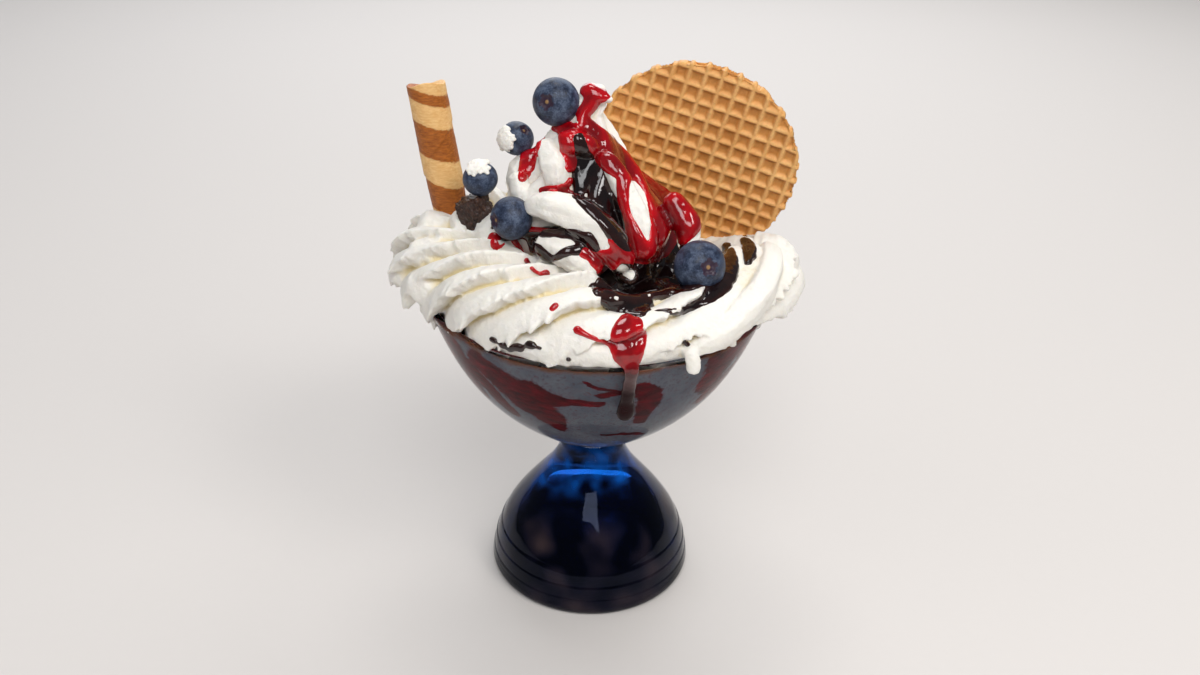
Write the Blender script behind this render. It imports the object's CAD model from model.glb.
# Looks of the ice cream sundae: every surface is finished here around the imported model.
import math
import random

import bmesh
import bpy
import numpy as np
from mathutils import Matrix, Vector, noise
from mathutils.bvhtree import BVHTree


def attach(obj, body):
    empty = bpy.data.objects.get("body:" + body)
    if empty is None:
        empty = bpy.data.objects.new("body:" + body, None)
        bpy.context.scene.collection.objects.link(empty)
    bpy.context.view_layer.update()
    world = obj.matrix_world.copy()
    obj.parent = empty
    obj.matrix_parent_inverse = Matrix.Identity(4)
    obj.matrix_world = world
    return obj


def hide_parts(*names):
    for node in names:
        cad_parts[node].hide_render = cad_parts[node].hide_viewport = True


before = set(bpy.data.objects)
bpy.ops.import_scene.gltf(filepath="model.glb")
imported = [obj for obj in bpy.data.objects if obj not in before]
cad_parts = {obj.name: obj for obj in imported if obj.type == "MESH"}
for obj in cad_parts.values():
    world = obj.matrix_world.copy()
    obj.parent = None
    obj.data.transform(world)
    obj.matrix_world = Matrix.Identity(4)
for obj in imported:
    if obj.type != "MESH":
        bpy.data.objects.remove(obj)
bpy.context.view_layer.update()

mm = 0.001
tau = 2 * math.pi


# Small tools for meshes

def toObject(name, bm, material):
    mesh = bpy.data.meshes.new(name)
    bm.to_mesh(mesh)
    bm.free()
    mesh.materials.append(material)
    obj = bpy.data.objects.new(name, mesh)
    bpy.context.scene.collection.objects.link(obj)
    return obj


def applyStack(obj):
    graph = bpy.context.evaluated_depsgraph_get()
    mesh = bpy.data.meshes.new_from_object(obj.evaluated_get(graph))
    obj.modifiers.clear()
    old = obj.data
    obj.data = mesh
    bpy.data.meshes.remove(old)


def remeshed(obj, voxel):
    step = obj.modifiers.new("skin", "REMESH")
    step.mode = "VOXEL"
    step.voxel_size = voxel * 1.0
    step.use_smooth_shade = True
    applyStack(obj)


def softened(obj, rounds, factor=0.5):
    step = obj.modifiers.new("soften", "SMOOTH")
    step.factor = factor
    step.iterations = rounds
    applyStack(obj)


def thinnedTo(obj, mostTriangles):
    count = sum(len(p.vertices) - 2 for p in obj.data.polygons)
    if count > mostTriangles:
        step = obj.modifiers.new("thin", "DECIMATE")
        step.ratio = mostTriangles / count
        applyStack(obj)
    obj.data.shade_smooth()


def places(mesh):
    out = np.empty(len(mesh.vertices) * 3, dtype=np.float32)
    mesh.vertices.foreach_get("co", out)
    return out.reshape(-1, 3)


def movedTo(mesh, points):
    mesh.vertices.foreach_set("co", points.astype(np.float32).ravel())
    mesh.update()


def paint(mesh, name, values):
    layer = mesh.attributes.new(name, "FLOAT", "POINT")
    layer.data.foreach_set("value", np.asarray(values, dtype=np.float32))


def averaged(mesh, values, rounds):
    # Each round replaces a vertex by the mean of its neighbours
    ends = np.empty(len(mesh.edges) * 2, dtype=np.int32)
    mesh.edges.foreach_get("vertices", ends)
    a, b = ends.reshape(-1, 2).T
    count = len(mesh.vertices)
    share = np.maximum(np.bincount(a, minlength=count) + np.bincount(b, minlength=count), 1)
    out = values.astype(np.float64)
    for _ in range(rounds):
        total = np.stack([
            np.bincount(a, out[b, k], count) + np.bincount(b, out[a, k], count) for k in range(out.shape[1])
        ], axis=1)
        out = total / share[:, None]
    return out


def normalsOf(mesh):
    out = np.empty(len(mesh.vertices) * 3, dtype=np.float32)
    mesh.vertices.foreach_get("normal", out)
    return out.reshape(-1, 3)


def hollowness(mesh, rounds, name="hollow"):
    # How far each point lies below its own smoothed surface, in millimetres
    points = places(mesh).astype(np.float64)
    gap = ((averaged(mesh, points, rounds) - points) * normalsOf(mesh)).sum(axis=1) / mm
    paint(mesh, name, gap)


def treeOf(obj):
    bm = bmesh.new()
    bm.from_mesh(obj.data)
    tree = BVHTree.FromBMesh(bm)
    bm.free()
    return tree


def easedPath(points, steps):
    # Points along a smooth curve through the given ones; works on vectors of any length
    chain = [2 * points[0] - points[1]] + list(points) + [2 * points[-1] - points[-2]]
    out = []
    for a, b, c, d in zip(chain, chain[1:], chain[2:], chain[3:]):
        for i in range(steps):
            t = i / steps
            bend = (2 * a - 5 * b + 4 * c - d) * t * t + (3 * b - a - 3 * c + d) * t ** 3
            out.append(0.5 * (2 * b + (c - a) * t + bend))
    out.append(points[-1])
    return out


def sweptForm(bm, path, radii, sides=28, flat=1.0, shape=None):
    # A closed strand: a grid rolled round the path, drawn in to a point at both ends
    count = len(path)
    made = bmesh.ops.create_grid(bm, x_segments=count - 1, y_segments=sides, size=0.5)
    lean = Vector((0, 0, 1))
    frames = []
    for i in range(count):
        along = (path[min(i + 1, count - 1)] - path[max(i - 1, 0)]).normalized()
        side = along.cross(lean)
        side = side.normalized() if side.length > 0.05 else frames[-1][0] if frames else Vector((1, 0, 0))
        frames.append((side, side.cross(along)))
    for v in made["verts"]:
        i = round((v.co.x + 0.5) * (count - 1))
        turn = (v.co.y + 0.5) * tau
        end = min(i, count - 1 - i) / (count - 1)
        reach = radii[i] * min(1.0, math.sqrt(max(0.0, end / 0.08 * (2 - min(end / 0.08, 1.0)))))
        if shape:
            reach *= shape(i / (count - 1), turn)
        side, rise = frames[i]
        v.co = path[i] + side * reach * math.cos(turn) + rise * reach * flat * math.sin(turn)
    bmesh.ops.remove_doubles(bm, verts=made["verts"], dist=0.004 * mm)


def blobMesh(detail):
    bm = bmesh.new()
    bmesh.ops.create_icosphere(bm, subdivisions=detail, radius=1.0)
    mesh = bpy.data.meshes.new("blob")
    bm.to_mesh(mesh)
    bm.free()
    return mesh


roundBlob = blobMesh(2)


def dropBlob(bm, matrix):
    copy = roundBlob.copy()
    copy.transform(matrix)
    bm.from_mesh(copy)
    bpy.data.meshes.remove(copy)


def blob(bm, centre, halves, turn=None):
    dropBlob(bm, Matrix.Translation(centre) @ (turn or Matrix()) @ Matrix.Diagonal((*halves, 1.0)))


# Small tools for materials

class Finish:
    # A Principled material and short ways to feed it
    def __init__(self, name, **fixed):
        self.material = bpy.data.materials.new(name)
        self.material.use_nodes = True
        self.tree = self.material.node_tree
        self.shader = self.tree.nodes["Principled BSDF"]
        for socket, value in fixed.items():
            self.shader.inputs[socket.replace("_", " ")].default_value = value

    def node(self, kind, **fixed):
        made = self.tree.nodes.new("ShaderNode" + kind)
        for key, value in fixed.items():
            if key in made.inputs:
                made.inputs[key].default_value = value
            else:
                setattr(made, key, value)
        return made

    def link(self, source, target):
        self.tree.links.new(source, target)

    def where(self, scale=(1, 1, 1), turn=(0, 0, 0), at=(0, 0, 0)):
        coords = self.node("TexCoord")
        mapping = self.node("Mapping")
        mapping.inputs["Scale"].default_value = scale
        mapping.inputs["Rotation"].default_value = turn
        mapping.inputs["Location"].default_value = at
        self.link(coords.outputs["Object"], mapping.inputs["Vector"])
        return mapping.outputs["Vector"]

    def noise(self, size, detail=4.0, rough=0.55, vector=None, distortion=0.0):
        made = self.node("TexNoise", Scale=1.0 / size, Detail=detail, Roughness=rough, Distortion=distortion)
        self.link(vector or self.where(), made.inputs["Vector"])
        return made.outputs["Fac"]

    def cells(self, size, vector=None, feature="F1"):
        made = self.node("TexVoronoi", Scale=1.0 / size)
        made.feature = feature
        self.link(vector or self.where(), made.inputs["Vector"])
        return made.outputs["Distance"]

    def attribute(self, name):
        return self.node("Attribute", attribute_name=name).outputs["Fac"]

    def spread(self, source, low, high, toLow=0.0, toHigh=1.0):
        made = self.node("MapRange")
        made.clamp = True
        for key, value in (("From Min", low), ("From Max", high), ("To Min", toLow), ("To Max", toHigh)):
            made.inputs[key].default_value = value
        self.link(source, made.inputs["Value"])
        return made.outputs["Result"]

    def sum(self, a, b, how="ADD"):
        made = self.node("Math", operation=how)
        for socket, value in zip(made.inputs, (a, b)):
            if isinstance(value, (int, float)):
                socket.default_value = value
            else:
                self.link(value, socket)
        return made.outputs["Value"]

    def blend(self, share, a, b):
        made = self.node("Mix", data_type="RGBA")
        for key, value in ((6, a), (7, b)):
            if isinstance(value, tuple):
                made.inputs[key].default_value = (*value, 1.0)
            else:
                self.link(value, made.inputs[key])
        if isinstance(share, (int, float)):
            made.inputs[0].default_value = share
        else:
            self.link(share, made.inputs[0])
        return made.outputs[2]

    def ramp(self, source, *stops):
        made = self.node("ValToRGB")
        points = made.color_ramp.elements
        for i, (place, colour) in enumerate(stops):
            point = points[i] if i < 2 else points.new(place)
            point.position = place
            point.color = (*colour, 1.0)
        self.link(source, made.inputs["Fac"])
        return made.outputs["Color"]

    def bump(self, height, depth, before=None, strength=1.0):
        made = self.node("Bump", Strength=strength, Distance=depth)
        self.link(height, made.inputs["Height"])
        if before:
            self.link(before, made.inputs["Normal"])
        return made.outputs["Normal"]

    def into(self, **sources):
        for socket, source in sources.items():
            self.link(source, self.shader.inputs[socket.replace("_", " ")])
        return self.material


# Camera: the photograph's view, slightly rolled
photoView = {
    "place": (1.6 * mm, -350.0 * mm, 284.9 * mm),
    "pitch": 0.5021,
    "roll": 0.0292,
    "lens": 34.887,
    "sensor": 36.0,
}


def setCamera():
    data = bpy.data.cameras.new("photoCamera")
    data.lens = photoView["lens"]
    data.sensor_width = photoView["sensor"]
    data.clip_start = 0.01
    data.clip_end = 20.0
    camera = bpy.data.objects.new("photoCamera", data)
    bpy.context.scene.collection.objects.link(camera)
    tilt = Matrix.Rotation(math.pi / 2 - photoView["pitch"], 4, "X")
    roll = Matrix.Rotation(photoView["roll"], 4, "Z")
    camera.matrix_world = Matrix.Translation(photoView["place"]) @ tilt @ roll
    bpy.context.scene.camera = camera
    return camera


# Studio: a pale floor and soft boxes
studio = {
    "floorSize": 9.0,
    "floorColour": (0.64, 0.606, 0.580),
    "worldColour": (0.86, 0.90, 0.97),
    "worldStrength": 0.16,
    "boxes": (
        # name, place, where it points, width, height, strength, colour, whether it shows in gloss
        ("keyBox", (0.85, -0.60, 1.00), (0, 0, 0.11), 0.7, 0.7, 4.0, (1.0, 0.97, 0.93), False),
        ("topBox", (-0.05, 0.32, 1.10), (0, 0, 0.11), 0.38, 0.34, 2.3, (1.0, 0.99, 0.98), True),
        ("glintBox", (0.50, -0.42, 0.80), (0, 0, 0.11), 0.24, 0.20, 1.5, (1.0, 0.98, 0.96), True),
        ("frontBox", (0.0, -0.85, 1.12), (0, 0, 0.11), 0.55, 0.75, 6.5, (0.98, 0.99, 1.0), True),
        ("backBox", (-0.10, 1.05, 0.68), (0, 0, 0.11), 1.2, 0.6, 7.0, (0.93, 0.96, 1.0), True),
        ("fillBox", (-1.1, -0.55, 0.85), (0, 0, 0.11), 1.2, 1.2, 3.0, (0.98, 0.98, 1.0), False),
        ("farBox", (0.65, 0.75, 1.10), (0.35, 0.55, 0), 0.9, 0.9, 4.8, (1.0, 0.99, 0.97), False),
        ("nearBox", (0.10, -0.75, 0.95), (0.05, -0.22, 0), 0.9, 0.5, 2.6, (1.0, 0.99, 0.97), False),
    ),
}


def setStudio():
    bm = bmesh.new()
    bmesh.ops.create_grid(bm, x_segments=24, y_segments=24, size=studio["floorSize"] / 2)
    paper = Finish("studioPaper", Roughness=0.9)
    fibres = paper.noise(0.004, detail=3)
    pale = paper.blend(fibres, tuple(c * 0.985 for c in studio["floorColour"]), studio["floorColour"])
    floor = toObject("studioFloor", bm, paper.into(Base_Color=pale))
    world = bpy.data.worlds.new("studioAir")
    world.use_nodes = True
    air = world.node_tree.nodes["Background"]
    air.inputs["Color"].default_value = (*studio["worldColour"], 1.0)
    air.inputs["Strength"].default_value = studio["worldStrength"]
    bpy.context.scene.world = world
    bpy.context.scene.view_settings.view_transform = "Standard"
    for name, place, aim, width, height, strength, colour, shows in studio["boxes"]:
        data = bpy.data.lights.new(name, "AREA")
        data.shape = "RECTANGLE"
        data.size = width
        data.size_y = height
        data.energy = strength
        data.color = colour
        lamp = bpy.data.objects.new(name, data)
        lamp.visible_glossy = shows
        bpy.context.scene.collection.objects.link(lamp)
        way = Vector(aim) - Vector(place)
        lamp.matrix_world = Matrix.Translation(place) @ way.to_track_quat("-Z", "Y").to_matrix().to_4x4()


camera = setCamera()
setStudio()
print("camera and studio ready")


# Glass: a clear bowl and a dark blue foot
glass = {
    "rimRadius": 57.4 * mm,
    "rimHeight": 113.0 * mm,
    "wall": 2.2 * mm,
    "bottom": 53.2 * mm,
    "seat": 8.0 * mm,
    "neck": 11.0 * mm,
    "footRadius": 36.5 * mm,
    "hollowRadius": 31.8 * mm,
    "hollowTop": 37.0 * mm,
    "rings": (6.3 * mm, 11.0 * mm, 16.2 * mm),     # low shoulders round the foot that catch the light
    "ringDeep": 0.26 * mm,
    "steps": 128,
}


def ringStep(height):
    # How far the foot draws in above each shoulder, easing out again before the next
    drawn = 0.0
    for ring in glass["rings"]:
        over = (height - ring) / mm
        if over > 0:
            drawn = max(drawn, min(1.0, over / 0.35) * max(0.0, 1.0 - over / 4.4))
    return drawn * glass["ringDeep"]


def bezier(p0, p1, p2, p3, steps):
    out = []
    for i in range(steps + 1):
        t = i / steps
        weights = ((1 - t) ** 3, 3 * (1 - t) ** 2 * t, 3 * (1 - t) * t * t, t ** 3)
        out.append(tuple(sum(w * p[k] for w, p in zip(weights, (p0, p1, p2, p3))) for k in (0, 1)))
    return out


def bowlSide(inset, steps):
    rim = (glass["rimRadius"] - inset, glass["rimHeight"])
    high = (49.2 * mm - inset, 90.9 * mm + 0.3 * inset)
    low = (43.8 * mm - inset, 74.0 * mm + inset)
    seat = (glass["seat"] - 0.4 * inset, glass["bottom"] + 1.05 * inset)
    return bezier(rim, high, low, seat, steps)


def bowlReach(inset, height):
    # The bowl's radius at a height
    side = bowlSide(inset, 60)
    for (ra, za), (rb, zb) in zip(side, side[1:]):
        if zb <= height:
            return ra + (rb - ra) * (height - za) / (zb - za)
    return side[-1][0]


def turnedForm(profile, steps):
    bm = bmesh.new()
    verts = [bm.verts.new((r, 0.0, z)) for r, z in profile]
    edges = [bm.edges.new(pair) for pair in zip(verts, verts[1:])]
    bmesh.ops.spin(
        bm, geom=verts + edges, cent=(0, 0, 0), axis=(0, 0, 1), angle=tau, steps=steps, use_merge=True
    )
    bmesh.ops.remove_doubles(bm, verts=bm.verts, dist=0.01 * mm)
    bmesh.ops.recalc_face_normals(bm, faces=bm.faces)
    return bm


def clearGlass():
    made = Finish("clearGlass", Roughness=0.0, IOR=1.11, Transmission_Weight=1.0)
    made.shader.inputs["Base Color"].default_value = (0.90, 0.90, 0.92, 1.0)
    drift = made.noise(18 * mm, detail=1.0)
    return made.into(Roughness=made.spread(drift, 0.3, 0.7, 0.0, 0.03))


def blueGlass():
    made = Finish("blueGlass", Roughness=0.0, IOR=1.26)
    drift = made.noise(22 * mm, detail=1.0)
    height = made.node("SeparateXYZ")
    made.link(made.where(), height.inputs[0])
    level = made.sum(height.outputs["Z"], made.spread(drift, 0.3, 0.7, -4 * mm, 4 * mm))
    colour = made.ramp(
        made.spread(level, 24 * mm, 54 * mm),
        (0.0, (0.006, 0.010, 0.036)),
        (0.35, (0.007, 0.020, 0.10)),
        (0.70, (0.008, 0.050, 0.25)),
        (1.0, (0.010, 0.10, 0.48)),
    )
    # lit blue patches in the upper part and brownish ones lower down
    lit = made.spread(made.noise(8 * mm, detail=1.0, vector=made.where(at=(0.004, 0, 0.007))), 0.44, 0.72)
    lit = made.sum(lit, made.spread(level, 34 * mm, 40 * mm), "MULTIPLY")
    warm = made.spread(made.noise(15 * mm, detail=1.0, vector=made.where(at=(0.021, 0, 0))), 0.48, 0.74)
    warm = made.sum(warm, made.spread(level, 34 * mm, 27 * mm, 0.0, 1.0), "MULTIPLY")
    colour = made.blend(lit, colour, (0.004, 0.13, 0.62))
    colour = made.blend(warm, colour, (0.060, 0.040, 0.042))
    through = made.spread(made.sum(lit, warm, "MAXIMUM"), 0.0, 1.0, 0.97, 0.45)
    made.shader.inputs["Specular Tint"].default_value = (0.55, 0.65, 1.0, 1.0)
    waves = made.bump(made.noise(9 * mm, detail=0.0), 0.25 * mm)
    gloss = made.spread(drift, 0.3, 0.7, 0.005, 0.03)
    return made.into(Base_Color=colour, Roughness=gloss, Transmission_Weight=through, Normal=waves)


def buildGlass():
    wall = glass["wall"]
    floor = [(0.0, glass["bottom"] + 0.9 * wall)]
    inner = list(reversed(bowlSide(wall, 44)))
    lip = [
        (glass["rimRadius"] - wall * (0.5 + 0.46 * math.cos(a)), glass["rimHeight"] + wall * 0.33 * math.sin(a))
        for a in (math.radians(d) for d in (20, 45, 70, 90, 110, 135, 160))
    ]
    outer = bowlSide(0.0, 44)
    bottom = [(0.6 * glass["seat"], glass["bottom"] - 0.45 * mm), (0.0, glass["bottom"] - 0.6 * mm)]
    bm = turnedForm(floor + inner + lip + outer + bottom, glass["steps"])
    bowl = toObject("clearBowl", bm, clearGlass())
    bowl.data.shade_smooth()
    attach(bowl, "root")
    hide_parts("glass_bowl")

    low, seat, neck = glass["bottom"], glass["seat"], glass["neck"]
    reach, hollow, top = glass["footRadius"], glass["hollowRadius"], glass["hollowTop"]
    cup = [(0.0, low - 1.0 * mm), (0.55 * seat, low - 0.8 * mm), (seat, low - 0.4 * mm)]
    cup += [(neck - 0.6 * mm, low + 0.9 * mm), (neck, low + 1.2 * mm), (neck + 0.5 * mm, low + 0.6 * mm)]
    shoulder = neck + 0.6 * mm
    side = bezier((shoulder, low - 3 * mm), (14 * mm, 37.5 * mm), (33.8 * mm, 26.5 * mm), (reach - 0.3 * mm, 5 * mm), 220)
    side = [(r - ringStep(z), z) for r, z in side]
    base = [(reach, 3.4 * mm), (reach, 2.4 * mm), (reach - 0.3 * mm, 1.3 * mm)]
    base += [(reach - 0.8 * mm, 0.5 * mm), (reach - 1.8 * mm, 0.0)]
    inside = bezier((hollow, 0.0), (hollow - 1.5 * mm, 17 * mm), (17 * mm, top), (0.0, top), 36)
    bm = turnedForm(cup + side + base + inside, glass["steps"])
    foot = toObject("blueFoot", bm, blueGlass())
    foot.data.shade_smooth()
    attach(foot, "root")
    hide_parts("glass_foot")


buildGlass()
print("glass ready")


# Ice cream in the bowl, with berry sauce smeared against the wall
scoop = {
    "level": 108.0 * mm,
    "reachIn": 0.12 * mm,   # how far it goes into the wall, so that no air shows
    # streaks of sauce on the wall: turn about the axis in degrees, height, half width
    "smears": (
        ((-150, 106.0, 6.5), (-150, 96.5, 6.0), (-146, 87, 3.5)),
        ((-140, 99.0, 3.6), (-135, 92.5, 3.4), (-128, 84.5, 2.6)),
        ((-132, 104.6, 4.4), (-122, 98.5, 5.6), (-114, 93.3, 6.0), (-109, 87.6, 4.3), (-105, 81.6, 2.2)),
        ((-113, 99.3, 3.8), (-104, 96.8, 2.6), (-96, 96.7, 1.5), (-88, 96.5, 1.1)),
        ((-88, 100.9, 1.2), (-82, 101.8, 1.0)),
        ((-92, 106.4, 0.4), (-90, 105.1, 0.5), (-83, 102.9, 0.4)),
        ((-74, 103.5, 2.4), (-70, 98.6, 3.4), (-70, 92.8, 2.8), (-70, 86.4, 2.1)),
        ((-85, 78.3, 0.5), (-76, 77.7, 0.8), (-61, 75.4, 0.5)),
        ((-43, 112.4, 5.4), (-41, 104.2, 6.4), (-42, 97.0, 4.6)),
        ((-25, 106.0, 5.5), (-30, 112.0, 4.5)),
        ((-14, 104.0, 6.5), (-22, 96.0, 5.5), (-36, 89.0, 4.0)),
        ((-170, 106.0, 6.5), (-166, 97.0, 6.0), (-158, 86.0, 4.5)),
        ((0, 101, 5), (12, 91, 6), (26, 84, 3)),
        ((60, 99, 4), (76, 89, 5), (94, 82, 3)),
        ((128, 103, 4), (142, 93, 6), (150, 84, 3)),
        ((176, 105, 4), (188, 93, 5), (200, 86, 3)),
    ),
}


def smearsAt(points):
    # How deep inside a streak each place on the wall is: 1 in its middle, below 0.12 outside
    marks = []
    for smear in scoop["smears"]:
        marks += [tuple(p) for p in easedPath([Vector(p) for p in smear], 10)]
    marks = np.array(marks)
    values = []
    for x, y, z in points:
        at = Vector((x, y, z))
        wobble = noise.noise_vector(at * 110.0) * 1.5 + noise.noise_vector(at * 320.0) * 0.7
        away = np.degrees(math.atan2(y, x)) - marks[:, 0]
        away = np.radians((away + 180) % 360 - 180) * math.hypot(x, y) / mm + wobble.x
        gap = np.hypot(away, (z / mm - marks[:, 1]) * 1.15 + wobble.y)
        values.append(max(0.0, 1.12 - float((gap / (1.3 * marks[:, 2])).min())))
    return values


def fillingFinish():
    made = Finish("iceCreamFilling", Roughness=0.5, Specular_IOR_Level=0.08, Subsurface_Weight=0.1)
    made.shader.inputs["Subsurface Scale"].default_value = 2 * mm
    clouds = made.noise(9 * mm, detail=5.0)
    pale = made.ramp(clouds, (0.25, (0.070, 0.082, 0.105)), (0.75, (0.165, 0.180, 0.210)))
    grain = made.noise(0.9 * mm, detail=3.0)
    pale = made.blend(made.spread(grain, 0.35, 0.7, 0.0, 0.25), pale, (0.21, 0.225, 0.255))
    smear = made.attribute("smear")
    streaks = made.noise(5 * mm, detail=5.0, vector=made.where(scale=(1, 1, 2.4)))
    red = made.ramp(streaks, (0.30, (0.022, 0.0005, 0.002)), (0.58, (0.095, 0.001, 0.005)), (0.78, (0.20, 0.003, 0.010)))
    edge = made.spread(made.sum(smear, made.spread(grain, 0.3, 0.7, -0.12, 0.12)), 0.0, 0.22)
    colour = made.blend(edge, pale, red)
    height = made.node("SeparateXYZ")
    made.link(made.where(), height.inputs[0])
    film = made.sum(height.outputs["Z"], made.spread(clouds, 0.3, 0.7, -1.2 * mm, 1.2 * mm))
    colour = made.blend(made.spread(film, 109.4 * mm, 111.2 * mm, 0.0, 0.85), colour, (0.17, 0.055, 0.018))
    return made.into(Base_Color=colour)


def buildFilling():
    side = bowlSide(glass["wall"] - scoop["reachIn"], 110)
    inside = [p for p in side if p[1] < scoop["level"] + 3.6 * mm]
    low = scoop["level"] - 0.5 * mm
    flat = inside[0][0] - 4 * mm
    profile = [(0.0, low)] + [(flat * k / 12, low) for k in range(1, 13)]
    profile += [(inside[0][0] - 2 * mm, low + 0.8 * mm), (inside[0][0] - 0.8 * mm, low + 2.4 * mm)] + inside
    profile.append((0.0, glass["bottom"] + 0.9 * glass["wall"] - scoop["reachIn"]))
    bm = turnedForm(profile, 300)
    filling = toObject("iceCreamFilling", bm, fillingFinish())
    filling.data.shade_smooth()
    paint(filling.data, "smear", smearsAt(places(filling.data)))
    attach(filling, "root")
    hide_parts("ice_cream")
    return filling


buildFilling()
print("filling ready")


# Whipped cream: a twisted star-piped collar, petals where it begins, and a piped peak
collar = {
    # turn in degrees, distance of the middle from the axis, half width, half height, height
    "stations": (
        (0, 51.0, 18.3, 14.5, 117.0),
        (30, 43.0, 16.5, 12.0, 110.5),
        (62, 41.8, 16.8, 15.5, 117.0),
        (90, 41.8, 17.2, 17.0, 119.5),
        (145, 42.5, 17.0, 17.5, 119.0),
        (180, 49.7, 19.6, 18.0, 118.5),
        (212, 41.5, 17.5, 18.0, 119.0),
        (262, 41.2, 16.6, 17.0, 119.5),
        (288, 45.4, 12.2, 11.0, 118.5),
        (325, 46.2, 12.6, 12.0, 118.5),
        (360, 51.0, 18.3, 14.5, 117.0),
    ),
    "ridges": 7,
    "twist": 21,
    "uneven": 0.55,         # the twist is slower at the right front and faster at the back left
    "unevenFrom": math.radians(145),
    "phase": 0.0,
    "depth": 0.44,
    "crest": 0.15,
    "lean": 0.20,
    "poolAt": Vector((22, -28, 122)) * mm,   # the ridges are pressed down under the sauce pool
    "poolHalves": Vector((27, 14, 14)) * mm,
    "petals": (
        # path of the middle line, then its radii
        (((-42, 2, 124), (-52, 1, 131), (-58, 0, 135.5)), (7.5, 6.5, 3.0)),
        (((-38, -3, 130), (-43.5, -4, 136.5), (-46, -4, 139.5)), (7.5, 5.5, 2.5)),
        (((-40, -8, 124), (-52, -10, 126.5), (-61, -10, 128)), (8.5, 7.5, 3.0)),
        (((-42, -16, 116), (-53, -18, 119), (-60.5, -18, 121)), (8.5, 7.5, 3.0)),
        (((-50, -8, 117), (-61, -7, 117), (-68.2, -5, 115.5)), (6.5, 4.5, 1.4)),
        (((52, 6, 120), (60, 2, 121), (66, -1, 120.5)), (11.0, 10.0, 4.5)),
        (((48, 8, 117), (54.5, 6, 122), (59, 4, 126)), (9.0, 7.5, 3.5)),
        # long blades round the sauce pool at the right, and a stub over the rim
        (((16, -40, 117.5), (23, -39.5, 121.5), (31, -35, 124), (38, -27.5, 126.5), (43, -16, 128.5), (44.5, -6, 130)),
         (2.5, 3.2, 3.8, 4.0, 4.0, 3.0)),
        (((27, -48, 115.5), (36.5, -45, 119), (44, -37.5, 122.5), (50.5, -27, 125.5), (54.5, -14, 127.5), (56, 0, 128.5)),
         (2.8, 4.2, 5.0, 5.2, 5.0, 4.0)),
        (((27, -47.5, 116), (28.6, -50.8, 116), (29.4, -52.6, 112.5), (29.4, -52.8, 110.8)), (2.2, 2.4, 2.2, 1.9)),
        (((17, -36, 121), (22, -33.5, 123), (27.6, -32.8, 122)), (1.2, 2.3, 1.2)),
    ),
    "mounds": (
        ((21, -27, 117), (26, 15, 9.4)),
        ((-21, -2, 151.5), (9, 9, 8.5)),
        ((-30, -10, 135), (10, 9, 7)),
    ),
    "strip": {"from": 228, "to": 306, "reach": 52.6 * mm, "radius": 5.0 * mm, "height": 117.0 * mm},
    "voxel": 0.5 * mm,
    "mostTriangles": 186000,
}
peak = {
    "base": 110.0 * mm,
    "top": 181.5 * mm,
    "ridges": 6,
    "depth": 0.24,
    "twist": math.radians(150),
    # share of the height, radius, sideways shift of the axis
    "form": (
        (0.00, 24.0, -2.0),
        (0.18, 31.0, -3.0),
        (0.42, 31.5, -4.0),
        (0.54, 24.0, -6.8),
        (0.70, 14.5, -6.0),
        (0.80, 10.0, -6.0),
        (0.87, 7.0, -6.0),
        (0.94, 5.0, -3.0),
        (1.00, 2.0, -1.0),
    ),
    "lobes": (
        # folds of cream on the peak's front and sides: path and radii
        (((-22, -19, 148.5), (-14, -24.5, 150.5), (-4, -27.5, 148), (4, -29.5, 141), (9, -30, 133)), (3.0, 5.0, 5.6, 5.2, 3.5)),
        (((-18, -25, 139.5), (-9, -30, 138.5), (0, -32.5, 132)), (3.5, 5.5, 4.0)),
        (((-18, -8, 165.5), (-14, -13, 160), (-12.5, -16, 153.5)), (2.5, 5.0, 3.5)),
        (((-26, -9, 155.5), (-24, -12, 150), (-25, -13, 146)), (2.5, 3.6, 2.2)),
        (((0.5, -12, 163), (8, -17, 153), (13, -22, 143), (14, -26, 135)), (2.5, 4.0, 4.6, 3.0)),
        (((22, -8, 149), (28, -12, 141), (29, -16, 133)), (2.5, 4.0, 3.0)),
        (((7.5, -27, 129.5), (9.5, -29, 131), (11.5, -31, 129.5)), (1.6, 2.4, 1.6)),
        (((-6, 0, 175), (-3.5, -1, 178.5), (-1.5, -2, 180.3)), (2.6, 3.2, 2.2)),
        (((-2.5, -2, 178.5), (0.5, -3, 178.0), (3.4, -4, 177.6)), (2.2, 1.8, 0.8)),
        (((-14, -8, 164), (-10, -11, 166.5), (-6, -11, 166), (-2, -10, 163)), (2.0, 3.4, 3.4, 2.5)),
    ),
    "voxel": 0.45 * mm,
    "mostTriangles": 150000,
}


def stationAt(turn):
    degrees = math.degrees(turn) % 360
    for low, high in zip(collar["stations"], collar["stations"][1:]):
        if degrees <= high[0]:
            t = (degrees - low[0]) / (high[0] - low[0])
            t = t * t * (3 - 2 * t)
            return [(a + (b - a) * t) * mm for a, b in zip(low[1:], high[1:])]


def ridgeHeight(s, crest):
    # A steep rise to the crest, then a long slope down to the next crease
    if s < crest:
        return (s / crest) ** 1.3
    return 1.0 - ((s - crest) / (1.0 - crest)) ** 1.15


def twistAt(turn):
    # How far the ridges have turned about the collar's middle line, in whole rounds
    steps = collar["twist"] / tau
    slower = collar["uneven"] * (math.sin(turn - collar["unevenFrom"]) + math.sin(collar["unevenFrom"]))
    return (steps * (turn + slower) + collar["phase"]) / collar["ridges"]


def nearCrest(s, crest, reach=0.13):
    return math.exp(-((s - crest) / reach) ** 2)


def tornEdge(at, size):
    # Uneven lumps, zero or above, for the broken edges of piped cream
    coarse = noise.noise(at / (2.6 * size))
    fine = noise.noise(at / size)
    return max(0.0, 0.65 * coarse + 0.5 * fine + 0.15)


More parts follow.
